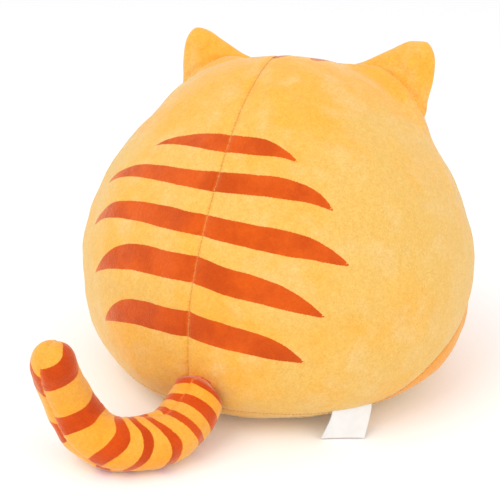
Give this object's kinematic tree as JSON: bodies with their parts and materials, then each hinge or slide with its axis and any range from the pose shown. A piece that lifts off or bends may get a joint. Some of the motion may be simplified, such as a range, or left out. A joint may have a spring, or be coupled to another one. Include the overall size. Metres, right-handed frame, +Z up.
{
  "type": "plush cat",
  "caption": "Round stuffed cat cushion that sits on a flat base, with two stuffed ears that fold, a curled striped tail that bends in three places, and a sewn-in label.",
  "frame": {"origin": "middle of the flat base, on the surface that the cat sits on", "axes": "+X towards the cat's left, +Y towards its back and tail, so it faces -Y, +Z up from the base to the crown"},
  "size_m": [0.321, 0.3897, 0.2656],
  "materials": {
    "plush_back": "short-pile plush, yellow with printed orange stripes",
    "plush_face": "short-pile plush, deeper yellow",
    "plush_base": "short-pile plush, deeper yellow",
    "plush_tail": "short-pile plush, printed with orange bands",
    "thread": "polyester sewing thread",
    "embroidery_dark": "dark satin-stitch embroidery",
    "embroidery_nose": "pink satin-stitch embroidery",
    "label_satin": "white satin ribbon, plain",
    "filling": "white hollow-fibre filling"
  },
  "bodies": {
    "body": {"back_panel_left": "plush_back", "back_panel_right": "plush_back", "face_panel": "plush_face", "base_panel": "plush_base", "body_filling": "filling", "back_seam_thread": "thread", "face_seam_thread": "thread", "base_seam_thread": "thread", "eye_left": "embroidery_dark", "eye_right": "embroidery_dark", "nose": "embroidery_nose", "mouth": "embroidery_dark", "whiskers_left": "embroidery_dark", "whiskers_right": "embroidery_dark"},
    "ear_left": {"ear_left_back_panel": "plush_back", "ear_left_front_panel": "plush_face", "ear_left_filling": "filling"},
    "ear_right": {"ear_right_back_panel": "plush_back", "ear_right_front_panel": "plush_face", "ear_right_filling": "filling"},
    "tail_root": {"tail_root_inner_panel": "plush_tail", "tail_root_outer_panel": "plush_tail", "tail_root_filling": "filling"},
    "tail_middle": {"tail_middle_inner_panel": "plush_tail", "tail_middle_outer_panel": "plush_tail", "tail_middle_filling": "filling"},
    "tail_tip": {"tail_tip_inner_panel": "plush_tail", "tail_tip_outer_panel": "plush_tail", "tail_tip_filling": "filling"},
    "label": {"label": "label_satin"}
  },
  "joints": [
    {"name": "ear_left_fold", "type": "hinge", "parent": "body", "child": "ear_left", "pos_m": [0.07941, -0.05915, 0.23559], "axis": [0.9135, 0.1053, -0.3929], "range_deg": [-35, 35], "stiffness_Nm_per_rad": 0.02},
    {"name": "ear_right_fold", "type": "hinge", "parent": "body", "child": "ear_right", "pos_m": [-0.07941, -0.05915, 0.23559], "axis": [0.9135, -0.1053, 0.3929], "range_deg": [-35, 35], "stiffness_Nm_per_rad": 0.02},
    {"name": "tail_swing", "type": "hinge", "parent": "body", "child": "tail_root", "pos_m": [-0.003, 0.13743, 0.038], "axis": [0, 0, 1], "range_deg": [-20, 20], "stiffness_Nm_per_rad": 0.08},
    {"name": "tail_bend", "type": "hinge", "parent": "tail_root", "child": "tail_middle", "pos_m": [0.01056, 0.18577, 0.01943], "axis": [0, 0, 1], "range_deg": [-20, 20], "stiffness_Nm_per_rad": 0.06},
    {"name": "tail_curl", "type": "hinge", "parent": "tail_middle", "child": "tail_tip", "pos_m": [0.057, 0.19743, 0.03125], "axis": [0, 1, 0], "range_deg": [-20, 20], "stiffness_Nm_per_rad": 0.06},
    {"name": "label_flap", "type": "hinge", "parent": "body", "child": "label", "pos_m": [-0.1044, 0.08459, 0.0196], "axis": [0.6961, 0.718, 0], "range_deg": [0, 70]}
  ]
}
